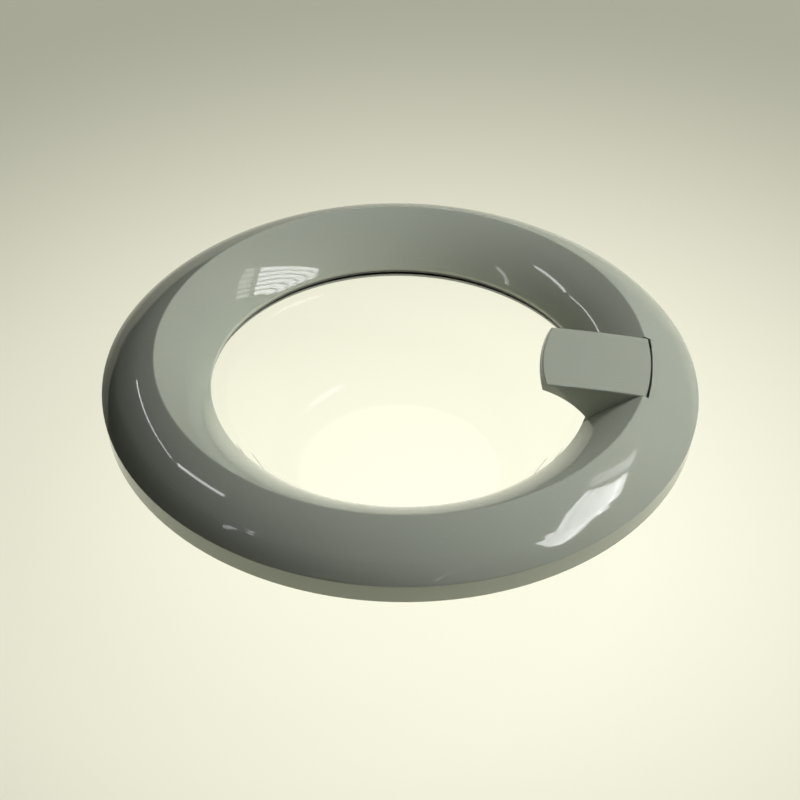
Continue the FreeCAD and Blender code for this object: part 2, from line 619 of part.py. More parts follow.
def handle_spring():
    """Returns the lever: one leg rests on the wall over the grip, the other on a stop on the rear ring."""
    wire = HANDLE_SPRING_WIRE
    first_y = HANDLE_SPRING_PLACE + wire / 2
    last_y = HANDLE_SPRING_PLACE + (HANDLE_SPRING_TURNS - 0.5) * wire
    radius = handle_spring_radius()
    arch = grip_arch()
    rest_x = FOOT_X - SPRING_REST_INSET
    wall_top = arch.z + math.sqrt((GRIP_ARCH_RADIUS + HANDLE_WALL)**2 - (rest_x - arch.x)**2)
    legs = [
        (Vector(PIN_X, first_y, PIN_HEIGHT - radius),
         Vector(rest_x, first_y, wall_top + wire + SPRING_CLEARANCE)),
        (Vector(handle_spring_leg_x(), last_y, PIN_HEIGHT),
         Vector(handle_spring_leg_x(), last_y, REAR_FACE + SPRING_CLEARANCE)),
    ]
    return torsion_spring(PIN_X, PIN_HEIGHT, radius - wire / 2, wire, HANDLE_SPRING_TURNS,
                          HANDLE_SPRING_PLACE, legs)


def hook_tail():
    """Inner x, outer x and top of the hook's tail, which stands just inside the barrel's foot."""
    foot_inside = PIN_X + math.sqrt((barrel_reach() - HANDLE_WALL)**2 - BARREL_FOOT_DROP**2)
    outer = foot_inside - HOOK_TAIL_GAP
    return outer - HOOK_TAIL_THICKNESS, outer, BARREL_FOOT + HOOK_TAIL_OVERLAP


def hook_peg():
    """Centre of the peg on the hook's tail that takes the spring's leg, as (x, z)."""
    inner, outer, top = hook_tail()
    return (inner + outer) / 2, top - HOOK_PEG_DROP


def latch_hook():
    """The steel hook: tail, boss, blade and nose in one piece, with the peg for its spring."""
    tail_inner, tail_outer, tail_top = hook_tail()
    inside = HOOK_X - HOOK_BLADE_INSIDE
    outside = HOOK_X + HOOK_BLADE_OUTSIDE
    end = HOOK_HEIGHT - HOOK_BLADE_LENGTH
    catch = end + HOOK_NOSE_HEIGHT
    half = HOOK_WIDTH / 2
    outline = [
        (tail_inner, tail_top, HOOK_ROUND),
        (tail_outer, tail_top, HOOK_ROUND),
        (tail_outer, HOOK_HEIGHT + HOOK_BOSS_WALL, 0),
        (outside, HOOK_HEIGHT, HOOK_ROUND),
        (outside, end + HOOK_NOSE_LIP, HOOK_ROUND),
        (HOOK_X, end, HOOK_ROUND),
        (inside - HOOK_NOSE_REACH, catch - HOOK_NOSE_LIP, HOOK_ROUND),
        (inside - HOOK_NOSE_REACH, catch, HOOK_ROUND),
        (inside, catch, HOOK_ROUND),
        (inside, HOOK_HEIGHT - HOOK_BOSS_WALL, 0),
        (tail_inner, HOOK_HEIGHT, HOOK_ROUND),
    ]
    peg_x, peg_z = hook_peg()
    hook = slab(outline, -half, half).fuse([
        cross_rod(HOOK_X, HOOK_HEIGHT, HOOK_BOSS_RADIUS, -half, half),
        cross_rod(peg_x, peg_z, HOOK_PEG_RADIUS, 0, half + 2 * HOOK_SPRING_WIRE),
    ])
    bore = cross_rod(HOOK_X, HOOK_HEIGHT, HOOK_PIN_RADIUS + PIN_CLEARANCE, -half, half)
    return hook.cut(bore).removeSplitter()


def hook_spring():
    """Returns the hook: one leg pushes the tail's peg outward, the other rests on the rear ring."""
    wire = HOOK_SPRING_WIRE
    y_from = HOOK_WIDTH / 2 + SPRING_CLEARANCE
    first_y = y_from + wire / 2
    last_y = y_from + (HOOK_SPRING_TURNS - 0.5) * wire
    radius = HOOK_PIN_RADIUS + SPRING_CLEARANCE + wire / 2
    peg_x, peg_z = hook_peg()
    legs = [
        (Vector(HOOK_X - radius, first_y, HOOK_HEIGHT),
         Vector(peg_x - HOOK_PEG_RADIUS - wire / 2 - SPRING_CLEARANCE, first_y, peg_z)),
        (Vector(HOOK_X, last_y, HOOK_HEIGHT - radius),
         Vector(HOOK_X - HOOK_SPRING_REACH, last_y, REAR_FACE + wire / 2 + SPRING_CLEARANCE / 2)),
    ]
    return torsion_spring(HOOK_X, HOOK_HEIGHT, radius - wire / 2, wire, HOOK_SPRING_TURNS, y_from, legs)


def hinge_leaf():
    """The door's half of the hinge: a screwed plate and the middle knuckle."""
    top = REAR_SETBACK
    under = top - HINGE_PLATE_THICKNESS
    half = LEAF_KNUCKLE_WIDTH / 2
    leaf = plate(HINGE_PLATE_OUTER_X, HINGE_PLATE_INNER_X, -LEAF_WIDTH / 2, LEAF_WIDTH / 2, under, top,
                 HINGE_PLATE_ROUND)
    neck = box(HINGE_X, HINGE_PLATE_X, -half, half, under, HINGE_HEIGHT + KNUCKLE_RADIUS)
    leaf = leaf.fuse([neck, cross_rod(HINGE_X, HINGE_HEIGHT, KNUCKLE_RADIUS, -half, half)])
    hole_radius = SCREW_SHANK_RADIUS + SCREW_CLEARANCE
    holes = [upright_rod(x, y, hole_radius, under, top) for x, y in leaf_screw_places()]
    bore = cross_rod(HINGE_X, HINGE_HEIGHT, HINGE_PIN_RADIUS + PIN_CLEARANCE, -half, half)
    return leaf.cut([bore, *holes]).removeSplitter()


def hinge_bracket():
    """The cabinet's half of the hinge: a plate with four screw holes and two outer knuckles."""
    under = HINGE_HEIGHT - KNUCKLE_RADIUS
    top = under + HINGE_PLATE_THICKNESS
    bracket = plate(HINGE_PLATE_OUTER_X, HINGE_PLATE_INNER_X, -BRACKET_WIDTH / 2, BRACKET_WIDTH / 2,
                    under, top, HINGE_PLATE_ROUND)
    neck = box(HINGE_X, HINGE_PLATE_X, BRACKET_KNUCKLE_FROM, BRACKET_KNUCKLE_TO, under, top)
    knuckle = cross_rod(HINGE_X, HINGE_HEIGHT, KNUCKLE_RADIUS, BRACKET_KNUCKLE_FROM, BRACKET_KNUCKLE_TO)
    bracket = bracket.fuse(on_both_sides(neck) + on_both_sides(knuckle))
    holes = [
        upright_rod(x, y, BRACKET_HOLE_RADIUS, under, top)
        for x, y in rectangle_places(HINGE_PLATE_X, BRACKET_HOLE_SPACING_X, BRACKET_HOLE_SPACING_Y)
    ]
    bush_bore = cross_rod(HINGE_X, HINGE_HEIGHT, HINGE_PIN_RADIUS + BUSH_WALL,
                          -BRACKET_KNUCKLE_TO, BRACKET_KNUCKLE_TO)
    return bracket.cut([bush_bore, *holes]).removeSplitter()


def hinge_bush():
    """A flanged bush in the bracket's knuckle on the +Y side."""
    flange_from = BRACKET_KNUCKLE_FROM - BUSH_FLANGE_THICKNESS
    body_radius = HINGE_PIN_RADIUS + BUSH_WALL - PIN_CLEARANCE
    bush = cross_rod(HINGE_X, HINGE_HEIGHT, body_radius, flange_from, BRACKET_KNUCKLE_TO)
    flange_radius = body_radius + BUSH_FLANGE_WALL
    bush = bush.fuse(cross_rod(HINGE_X, HINGE_HEIGHT, flange_radius, flange_from, BRACKET_KNUCKLE_FROM))
    bore = cross_rod(HINGE_X, HINGE_HEIGHT, HINGE_PIN_RADIUS + PIN_CLEARANCE, flange_from, BRACKET_KNUCKLE_TO)
    return bush.cut(bore).removeSplitter()


def hinge_pin():
    """The hinge pin, with a head at +Y and room for a clip at the other end."""
    face = BRACKET_KNUCKLE_TO + HINGE_SIDE_CLEARANCE
    pin = cross_rod(HINGE_X, HINGE_HEIGHT, HINGE_PIN_RADIUS, -face - CLIP_THICKNESS - PIN_END, face)
    head_radius = HINGE_PIN_RADIUS + HINGE_HEAD_WALL
    head = cross_rod(HINGE_X, HINGE_HEIGHT, head_radius, face, face + HINGE_HEAD_HEIGHT)
    return pin.fuse(head).removeSplitter()


def hinge_pin_clip():
    """The clip on the far end of the hinge pin."""
    face = -BRACKET_KNUCKLE_TO - HINGE_SIDE_CLEARANCE
    clip = cross_rod(HINGE_X, HINGE_HEIGHT, HINGE_PIN_RADIUS + CLIP_WIDTH, face - CLIP_THICKNESS, face)
    return clip.cut(cross_rod(HINGE_X, HINGE_HEIGHT, HINGE_PIN_RADIUS, face - CLIP_THICKNESS, face))


def write(name, solids):
    """Lifts a piece, or a group of like pieces, to stand on the bowl and writes it under its name."""
    shape = Part.makeCompound(solids) if len(solids) > 1 else solids[0].copy()
    shape.translate(Vector(0, 0, BOWL_DROP))
    shape.exportStep(os.path.join("parts", name + ".step"))


bushes = on_both_sides(hinge_bush())
pieces = {
    "outer_ring": [outer_ring()],
    "rear_ring": [rear_ring()],
    "glass_bowl": [glass_bowl()],
    "glass_seal": [glass_seal()],
    "frame_screws": [screw(x, y, REAR_SETBACK) for x, y in frame_screw_places()],
    "handle_lever": [handle_lever()],
    "handle_pin": [pin_with_ends(PIN_X, PIN_HEIGHT, HANDLE_PIN_RADIUS, POCKET_OUTSIDE)],
    "handle_pin_clips": clip_pair(PIN_X, PIN_HEIGHT, HANDLE_PIN_RADIUS, POCKET_OUTSIDE),
    "handle_spring": [handle_spring()],
    "latch_hook": [latch_hook()],
    "hook_pin": [pin_with_ends(HOOK_X, HOOK_HEIGHT, HOOK_PIN_RADIUS, HOOK_EAR_FACE + HOOK_EAR_THICKNESS)],
    "hook_pin_clips": clip_pair(HOOK_X, HOOK_HEIGHT, HOOK_PIN_RADIUS, HOOK_EAR_FACE + HOOK_EAR_THICKNESS),
    "hook_spring": [hook_spring()],
    "hinge_leaf": [hinge_leaf()],
    "hinge_screws": [screw(x, y, REAR_SETBACK - HINGE_PLATE_THICKNESS) for x, y in leaf_screw_places()],
    "hinge_bracket": [hinge_bracket()],
    "hinge_bush_upper": [bushes[0]],
    "hinge_bush_lower": [bushes[1]],
    "hinge_pin": [hinge_pin()],
    "hinge_pin_clip": [hinge_pin_clip()],
}

os.makedirs("parts", exist_ok=True)
for piece_name, piece_solids in pieces.items():
    write(piece_name, piece_solids)
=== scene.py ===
"""Looks of the washing machine door: materials, fine hardware, floor, light and camera on the frame."""
import json
import math

import bmesh
import bpy
from mathutils import Matrix, Vector


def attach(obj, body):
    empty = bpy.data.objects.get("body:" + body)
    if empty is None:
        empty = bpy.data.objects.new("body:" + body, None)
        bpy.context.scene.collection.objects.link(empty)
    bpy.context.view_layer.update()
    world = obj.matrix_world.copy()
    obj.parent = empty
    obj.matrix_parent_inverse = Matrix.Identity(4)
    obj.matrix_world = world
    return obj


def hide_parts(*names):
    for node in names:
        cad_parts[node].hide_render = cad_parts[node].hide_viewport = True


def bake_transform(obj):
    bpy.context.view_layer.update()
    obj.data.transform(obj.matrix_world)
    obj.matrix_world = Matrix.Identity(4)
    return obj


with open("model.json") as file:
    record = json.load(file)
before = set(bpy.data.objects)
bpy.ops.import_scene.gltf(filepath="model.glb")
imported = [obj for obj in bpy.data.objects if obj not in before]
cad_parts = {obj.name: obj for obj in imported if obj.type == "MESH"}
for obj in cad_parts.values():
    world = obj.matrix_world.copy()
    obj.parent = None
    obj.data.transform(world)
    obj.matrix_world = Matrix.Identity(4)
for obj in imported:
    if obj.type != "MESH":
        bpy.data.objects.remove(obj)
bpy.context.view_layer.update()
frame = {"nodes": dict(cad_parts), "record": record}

# Camera, about the ring's axis at its rear rim
RIM_HEIGHT = 0.084
RIM = Vector((0.0, 0.0, RIM_HEIGHT))
UP = (0.0, 0.0, 1.0)
CAMERA_ELEVATION = math.radians(39.7516)
CAMERA_TILT = math.radians(2.6972)
CAMERA_ROLL = math.radians(-2.54425)
CAMERA_TURN = math.radians(8.3)
CAMERA_DISTANCE = 1.521926
CAMERA_LENS = 85.99
CAMERA_SENSOR = 36.0
CAMERA_SHIFT = (-0.00043, -0.01146)

# Floor: what is seen of it near the door and far away, a painted pool of light near the door that fades to
# painted shade far away, and the paint that takes light and shadow
FLOOR_SIZE = 12.0
FLOOR_PAINTED_LIGHT_NEAR = (0.99, 0.98, 0.80, 1.0)
FLOOR_PAINTED_SHADE_FAR = (0.37, 0.37, 0.29, 1.0)
FLOOR_LIGHT_POOL_CENTRE = (0.05, -0.06, 0.0)
FLOOR_PAINTED_FALLOFF = (0.0, 0.92)
FLOOR_PAINT = (0.40, 0.39, 0.32, 1.0)
FLOOR_GLOW = 0.86
FLOOR_STRENGTH = 1.14
# Painted light: the floor seen through the glass glows this much brighter, to make up for what the glass
# takes
GLASS_VIEW_PAINTED_LIGHT = 1.05

# Room: a faint light from all sides, and what mirrors see overhead
SKY_AMBIENT = 0.005
SKY_MIRROR = 0.35
SKY_MIRROR_POWER = 2.0
LIGHT_COLOUR = (1.0, 1.0, 1.0)

# Soft lamps: azimuth and elevation in degrees, and radiance
KEY_DISTANCE = 2.2
KEY_SIZE = 0.8
KEYS = [(30.0, 45.0, 12.4), (45.0, 45.0, 7.7), (0.0, 25.0, 1.7)]

# Light off the floor: place, diameter and radiance
TABLE_COLOUR = (1.0, 0.99, 0.82)
TABLES = [((0.0, 0.0, 0.003), 0.70, 1.2), ((0.03, -0.05, 0.012), 0.14, 5.0)]

# Window with a blind: each column's two azimuths in degrees and its share of the radiance
WINDOW_SEEN_FROM = (-0.115, 0.105, 0.025)
WINDOW_DISTANCES = (1.8, 4.2)
WINDOW_COLUMNS = [(-27.5, 10.5, 1.0), (14.5, 22.0, 0.35)]
WINDOW_ROWS = (33.5, 49.5)
WINDOW_TILT = 3.6
WINDOW_SLATS = 6
SLAT_GAP = 0.25
WINDOW_RADIANCE = 10.0

# Narrow lamps: azimuth and elevation of both ends in degrees, width and radiance
STREAK_DISTANCE = 8.0
STREAKS = [
    ((142.4, 20.8), (166.5, 39.1), 0.07, 9.0),
    ((168.2, 41.0), (182.7, 53.0), 0.20, 9.0),
    ((204.5, 39.7), (209.9, 50.2), 0.26, 4.0),
    ((289.4, 36.1), (304.1, 48.6), 0.055, 7.0),
    ((245.2, 33.9), (255.7, 36.1), 0.055, 2.0),
]

# Surface detail
NOISE_REACH = (0.3, 0.7)
CLOUD_SCALE = 9.0
CLOUD_DETAIL = 2.0
SMUDGE_SCALE = 60.0
SMUDGE_DETAIL = 4.0
GRAIN_DETAIL = 2.0
SCRATCH_DETAIL = 1.0
SCRATCH_REACH = (0.70, 0.76)
SCRATCH_ROUGHNESS = 0.25
BRUSHED = (1.0, 0.05, 1.0)

# Colour sockets of a mix node, by number, because its other sockets have the same names
MIX_A = 6
MIX_B = 7
MIX_RESULT = 2


def toward(azimuth, elevation):
    """The direction at an azimuth from +X and an elevation, in degrees."""
    a, e = math.radians(azimuth), math.radians(elevation)
    return Vector((math.cos(a) * math.cos(e), math.sin(a) * math.cos(e), math.sin(e)))


def around(radius, angle):
    """The point of a circle about the origin at an angle in radians."""
    return radius * math.cos(angle), radius * math.sin(angle)


def put(name, data):
    """A new object in the scene."""
    made = bpy.data.objects.new(name, data)
    bpy.context.scene.collection.objects.link(made)
    return made


def add(tree, kind, inputs, **settings):
    """Adds a node, with settings on the node and a value or a link on each named input."""
    made = tree.nodes.new(kind)
    for name, value in settings.items():
        setattr(made, name, value)
    for name, value in inputs.items():
        if isinstance(value, bpy.types.NodeSocket):
            tree.links.new(value, made.inputs[name])
        else:
            made.inputs[name].default_value = value
    return made


def calc(tree, operation, *values, clamp=False):
    """The result of a math node on values or links."""
    inputs = dict(enumerate(values))
    return add(tree, "ShaderNodeMath", inputs, operation=operation, use_clamp=clamp).outputs[0]


def start_material(name, values):
    """A new material, its node tree and its shader, with the shader's plain values set."""
    material = bpy.data.materials.new(name)
    material.use_nodes = True
    tree = material.node_tree
    shader = tree.nodes["Principled BSDF"]
    for socket, value in values.items():
        shader.inputs[socket].default_value = value
    return material, tree, shader


def spread(tree, source, low, high):
    """A noise value stretched over the range from low to high."""
    return add(tree, "ShaderNodeMapRange", {
        "Value": source.outputs["Fac"], "From Min": NOISE_REACH[0], "From Max": NOISE_REACH[1],
        "To Min": low, "To Max": high,
    }).outputs["Result"]


def noise(tree, place, scale, detail):
    """A noise texture at a place."""
    return add(tree, "ShaderNodeTexNoise", {"Vector": place, "Scale": scale, "Detail": detail})


def plastic(name, tones, rough, grain, depth, metal=0.0, stretch=(1.0, 1.0, 1.0), scratch=None):
    """A moulded or drawn surface: a drift of tone, smudged gloss, a fine grain and a few scratches."""
    material, tree, shader = start_material(name, {"Metallic": metal})
    place = add(tree, "ShaderNodeTexCoord", {}).outputs["Object"]
    along = add(tree, "ShaderNodeMapping", {"Vector": place, "Scale": stretch}).outputs["Vector"]
    cloud = noise(tree, place, CLOUD_SCALE, CLOUD_DETAIL)
    smudge = noise(tree, along, SMUDGE_SCALE, SMUDGE_DETAIL)
    texture = noise(tree, along, grain, GRAIN_DETAIL)
    ramp = add(tree, "ShaderNodeValToRGB", {"Fac": cloud.outputs["Fac"]})
    for element, position, tone in zip(ramp.color_ramp.elements, NOISE_REACH, tones):
        element.position = position
        element.color = tone
    gloss = spread(tree, smudge, *rough)
    if scratch:
        lines = add(tree, "ShaderNodeMapping", {"Vector": place, "Scale": scratch}).outputs["Vector"]
        lines = noise(tree, lines, 1.0, SCRATCH_DETAIL)
        marks = add(tree, "ShaderNodeMapRange", {
            "Value": lines.outputs["Fac"], "From Min": SCRATCH_REACH[0], "From Max": SCRATCH_REACH[1]})
        gloss = calc(tree, "MULTIPLY_ADD", marks.outputs["Result"], SCRATCH_ROUGHNESS, gloss)
    tree.links.new(ramp.outputs["Color"], shader.inputs["Base Color"])
    tree.links.new(gloss, shader.inputs["Roughness"])
    bump = add(tree, "ShaderNodeBump", {
        "Height": texture.outputs["Fac"], "Strength": 1.0, "Distance": depth})
    tree.links.new(bump.outputs["Normal"], shader.inputs["Normal"])
    return material


slots = {
    "ring_plastic": plastic(
        "ring_plastic", tones=[(0.350, 0.378, 0.312, 1.0), (0.365, 0.393, 0.326, 1.0)],
        rough=(0.035, 0.055), grain=250.0, depth=0.0000012, scratch=(14.0, 900.0, 900.0)),
    "rear_plastic": plastic(
        "rear_plastic", tones=[(0.40, 0.42, 0.40, 1.0), (0.42, 0.44, 0.42, 1.0)],
        rough=(0.42, 0.55), grain=900.0, depth=0.00004),
    "bush_plastic": plastic(
        "bush_plastic", tones=[(0.80, 0.79, 0.74, 1.0), (0.83, 0.82, 0.77, 1.0)],
        rough=(0.40, 0.50), grain=1200.0, depth=0.00002),
    "seal_rubber": plastic(
        "seal_rubber", tones=[(0.140, 0.142, 0.130, 1.0), (0.160, 0.162, 0.148, 1.0)],
        rough=(0.55, 0.70), grain=1500.0, depth=0.00003),
    "zinc_steel": plastic(
        "zinc_steel", tones=[(0.54, 0.55, 0.56, 1.0), (0.60, 0.60, 0.59, 1.0)],
        rough=(0.35, 0.50), grain=1500.0, depth=0.00002, metal=0.75, stretch=BRUSHED),
    "spring_steel": plastic(
        "spring_steel", tones=[(0.38, 0.38, 0.39, 1.0), (0.44, 0.44, 0.44, 1.0)],
        rough=(0.25, 0.40), grain=1500.0, depth=0.00002, metal=1.0, stretch=BRUSHED),
    "bowl_glass": start_material("bowl_glass", {
        "Base Color": (0.985, 0.99, 0.98, 1.0), "Roughness": 0.0, "IOR": 1.001, "Transmission Weight": 1.0,
        "Coat Weight": 0.2, "Coat IOR": 1.5, "Coat Roughness": 0.02,
    })[0],
}
for subpart in frame["record"]["subparts"]:
    node = frame["nodes"][subpart["node"]]
    node.data.materials.clear()
    node.data.materials.append(slots[subpart["material_slot"]])

# Fine hardware, in millimetres about the door's axis and its rear rim
MM = 0.001
SMOOTH_ANGLE = math.radians(35.0)
SCREW_HEAD_RADIUS = 4.0
SCREW_HEAD_HEIGHT = 2.2
SCREW_HEAD_EDGE = 0.15
SCREW_SIDES = 32
DOME_STEPS = 8
DOME_SHARE = 0.55
THREAD_CORE = 1.45
THREAD_CREST = 1.85
THREAD_PITCH = 1.3
THREAD_SIDES = 14
THREAD_STEPS = 6
SCREW_LENGTH = 16.0
SCREW_TIP = 2.6
RECESS_REACH = 2.2
RECESS_HALF_WIDTH = 0.5
RECESS_DEPTH = 1.4
RECESS_TAPER = 0.6
RECESS_TURN = 37.0
FRAME_SCREW_CIRCLE = 196.0
FRAME_SCREW_FIRST = 32.0
FRAME_SCREW_STEP = 29.0
FRAME_SCREW_PAIRS = 5
FRAME_SCREW_SEAT = 4.5
HINGE_SCREW_CENTRE = -192.5
HINGE_SCREW_REACH = (10.0, 17.0)
HINGE_SCREW_SEAT = 2.0
WIRE_SIDES = 12
WIRE_STEPS = 30
HANDLE_SPRING = {
    "pin": (184.0, 33.5), "radius": 3.6, "wire_radius": 0.7, "span": (14.7, 21.7),
    "arrives": (148.5, 23.6), "leaves": (187.6, 7.5), "turns": 4, "sense": -1,
}
HOOK_SPRING = {
    "pin": (196.0, 11.0), "radius": 2.9, "wire_radius": 0.5, "span": (5.9, 9.9),
    "arrives": (187.9, 20.4), "leaves": (184.0, 7.75), "turns": 4, "sense": 1,
}
CLIP_THICKNESS = 0.8
CLIP_WIDTH = 2.0
CLIP_MOUTH = 40.0
CLIP_TOOTH = 20.0
CLIP_STEPS = 72
CLIP_RELIEF = 0.8
HANDLE_CLIPS = {"pin": (184.0, 33.5), "radius": 2.5, "starts": (39.8, -40.6)}
HOOK_CLIPS = {"pin": (196.0, 11.0), "radius": 2.0, "starts": (15.0, -15.8)}
HINGE_CLIP = {"pin": (-219.0, -1.5), "radius": 2.5, "starts": (-27.2,)}


def to_object(name, bm):
    """An object in the scene from a mesh under work, which is freed."""
    mesh = bpy.data.meshes.new(name)
    bm.to_mesh(mesh)
    bm.free()
    return put(name, mesh)


def hang(name, bm, slot, node, wound=None):
    """A piece from its mesh in millimetres, in place of a CAD node: it rides on the door, or, when wound,
    stays fixed where it is built.
    """
    bmesh.ops.recalc_face_normals(bm, faces=bm.faces)
    lift = Matrix.Translation(RIM) @ Matrix.Scale(MM, 4)
    bmesh.ops.transform(bm, matrix=lift, verts=bm.verts)
    made = to_object(name, bm)
    made.data.materials.append(slots[slot])
    made.data.set_sharp_from_angle(angle=SMOOTH_ANGLE)
    if wound:
        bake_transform(made)
    else:
        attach(made, "door")
    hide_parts(node)


def skin(bm, rings):
    """Faces between rows of points, each row a loop, where a row of one point is the tip of a cone."""
    for low, high in zip(rings, rings[1:]):
        count = max(len(low), len(high))
        for i in range(count):
            j = (i + 1) % count
            corners = [low[i % len(low)], low[j % len(low)], high[j % len(high)], high[i % len(high)]]
            bm.faces.new(list(dict.fromkeys(corners)))


def tube(bm, rings):
    """Faces between rows of points, with the first and the last row closed."""
    skin(bm, rings)
    bm.faces.new(rings[0])
    bm.faces.new(rings[-1])


def lathe(bm, profile, sides):
    """Turns (radius, height) points about Z."""
    rings = []
    for radius, height in profile:
        angles = [2 * math.pi * i / sides for i in range(sides if radius > 0 else 1)]
        rings.append([bm.verts.new((*around(radius, a), height)) for a in angles])
    skin(bm, rings)


def screw_head():
    """A domed head under z = 0 with a tapered cross recess, cut out with a boolean."""
    radius, height = SCREW_HEAD_RADIUS, SCREW_HEAD_HEIGHT
    angles = [math.pi / 2 * i / DOME_STEPS for i in range(DOME_STEPS + 1)]
    flat = height * (1 - DOME_SHARE)
    dome = [(radius * math.sin(a), -flat - height * DOME_SHARE * math.cos(a)) for a in angles]
    rim = [(radius, -SCREW_HEAD_EDGE), (radius - SCREW_HEAD_EDGE, 0.0), (0.0, 0.0)]
    body = bmesh.new()
    lathe(body, dome + rim, SCREW_SIDES)
    arm, half = RECESS_REACH, RECESS_HALF_WIDTH
    corners = [(half, half), (half, arm), (-half, arm)]
    quarters = [Matrix.Rotation(math.radians(90 * k), 2) for k in range(4)]
    cross = [quarter @ Vector(corner) for quarter in quarters for corner in corners]
    cutter = bmesh.new()
    rows = [(1.0, -height - RECESS_DEPTH), (1.0, -height), (RECESS_TAPER, RECESS_DEPTH - height)]
    tube(cutter, [[cutter.verts.new((x * share, y * share, z)) for x, y in cross] for share, z in rows])
    objects = []
    for name, bm in (("screw_body", body), ("screw_cutter", cutter)):
        bmesh.ops.recalc_face_normals(bm, faces=bm.faces)
        objects.append(to_object(name, bm))
    cut = objects[0].modifiers.new("recess", "BOOLEAN")
    cut.object = objects[1]
    ready = objects[0].evaluated_get(bpy.context.evaluated_depsgraph_get())
    result = bpy.data.meshes.new_from_object(ready)
    for made in objects:
        bpy.data.objects.remove(made)
    return result


def screw_shank(bm):
    """A threaded shank above z = 0 that runs out to a point."""
    rows = round(SCREW_LENGTH / THREAD_PITCH * THREAD_STEPS)
    rings = [[bm.verts.new((0, 0, 0))]]
    for r in range(rows):
        z = SCREW_LENGTH * r / rows
        taper = min(1.0, (SCREW_LENGTH - z) / SCREW_TIP)
        ring = []
        for i in range(THREAD_SIDES):
            turn = i / THREAD_SIDES
            ridge = 1 - abs(2 * ((z / THREAD_PITCH - turn) % 1.0) - 1)
            radius = (THREAD_CORE + (THREAD_CREST - THREAD_CORE) * ridge) * taper
            ring.append(bm.verts.new((*around(radius, 2 * math.pi * turn), z)))
        rings.append(ring)
    rings.append([bm.verts.new((0, 0, SCREW_LENGTH))])
    skin(bm, rings)


def screws():
    """The screws of the rear ring and of the hinge leaf."""
    head = screw_head()
    sides = (1, -1)
    pairs = [FRAME_SCREW_FIRST + FRAME_SCREW_STEP * i for i in range(FRAME_SCREW_PAIRS)]
    ring_places = [around(FRAME_SCREW_CIRCLE, math.radians(side * a)) for a in pairs for side in sides]
    reach_x, reach_y = HINGE_SCREW_REACH
    leaf_places = [(HINGE_SCREW_CENTRE + reach_x * i, reach_y * j) for i in sides for j in sides]
    groups = [("frame_screw_set", "frame_screws", ring_places, FRAME_SCREW_SEAT),
              ("hinge_screw_set", "hinge_screws", leaf_places, HINGE_SCREW_SEAT)]
    for name, node, places, seat in groups:
        bm = bmesh.new()
        for i, (x, y) in enumerate(places):
            before = len(bm.verts)
            bm.from_mesh(head)
            screw_shank(bm)
            bm.verts.ensure_lookup_table()
            turn = Matrix.Rotation(math.radians(RECESS_TURN * i), 4, "Z")
            place = Matrix.Translation((x, y, seat)) @ turn
            bmesh.ops.transform(bm, matrix=place, verts=bm.verts[before:])
        hang(name, bm, "zinc_steel", node)
    bpy.data.meshes.remove(head)


def wire(bm, points, radius):
    """A round wire along a line of points, closed at both ends."""
    rings = []
    side = Vector((0, 1, 0))
    angles = [2 * math.pi * k / WIRE_SIDES for k in range(WIRE_SIDES)]
    for i, point in enumerate(points):
        along = (points[min(i + 1, len(points) - 1)] - points[max(i - 1, 0)]).normalized()
        side = (side - along * side.dot(along)).normalized()
        other = along.cross(side)
        spokes = [(side * math.cos(a) + other * math.sin(a)) * radius for a in angles]
        rings.append([bm.verts.new(point + spoke) for spoke in spokes])
    tube(bm, rings)


def spring(name, node, body, pin, radius, wire_radius, span, arrives, leaves, turns, sense):
    """A wound spring on a cross pin: a leg out to a body, the turns, and a leg out to the door."""
    x, z = pin
    y_from, y_to = span

    def touch(spot, side):
        away = Vector((spot[0] - x, spot[1] - z))
        return math.atan2(away.y, away.x) + side * math.acos(radius / away.length)

    first, last = touch(arrives, sense), touch(leaves, -sense)
    last += sense * 2 * math.pi * turns
    steps = turns * WIRE_STEPS
    points = [Vector((arrives[0], y_from, arrives[1]))]
    for i in range(steps + 1):
        share = i / steps
        across, upward = around(radius, first + (last - first) * share)
        points.append(Vector((x + across, y_from + (y_to - y_from) * share, z + upward)))
    points.append(Vector((leaves[0], y_to, leaves[1])))
    bm = bmesh.new()
    wire(bm, points, wire_radius)
    ends = [Vector((x, y, z)) * MM + RIM for y in (y_to, y_from + wire_radius)]
    hang(name, bm, "spring_steel", node, (body, *ends))


def clips(name, node, pin, radius, starts):
    """Open retaining clips with three teeth that grip a cross pin."""
    x, z = pin
    outer = radius + CLIP_WIDTH
    teeth = (CLIP_MOUTH, 180.0, 360 - CLIP_MOUTH)
    bm = bmesh.new()
    for y in starts:
        rows = []
        for i in range(CLIP_STEPS + 1):
            angle = CLIP_MOUTH + (360 - 2 * CLIP_MOUTH) * i / CLIP_STEPS
            on_tooth = min(abs(angle - middle) for middle in teeth) < CLIP_TOOTH
            inner = radius if on_tooth else radius + CLIP_RELIEF
            row = []
            for r, h in ((inner, 0), (outer, 0), (outer, CLIP_THICKNESS), (inner, CLIP_THICKNESS)):
                across, upward = around(r, math.radians(angle))
                row.append(bm.verts.new((x + across, y + h, z + upward)))
            rows.append(row)
        tube(bm, rows)
    hang(name, bm, "spring_steel", node)


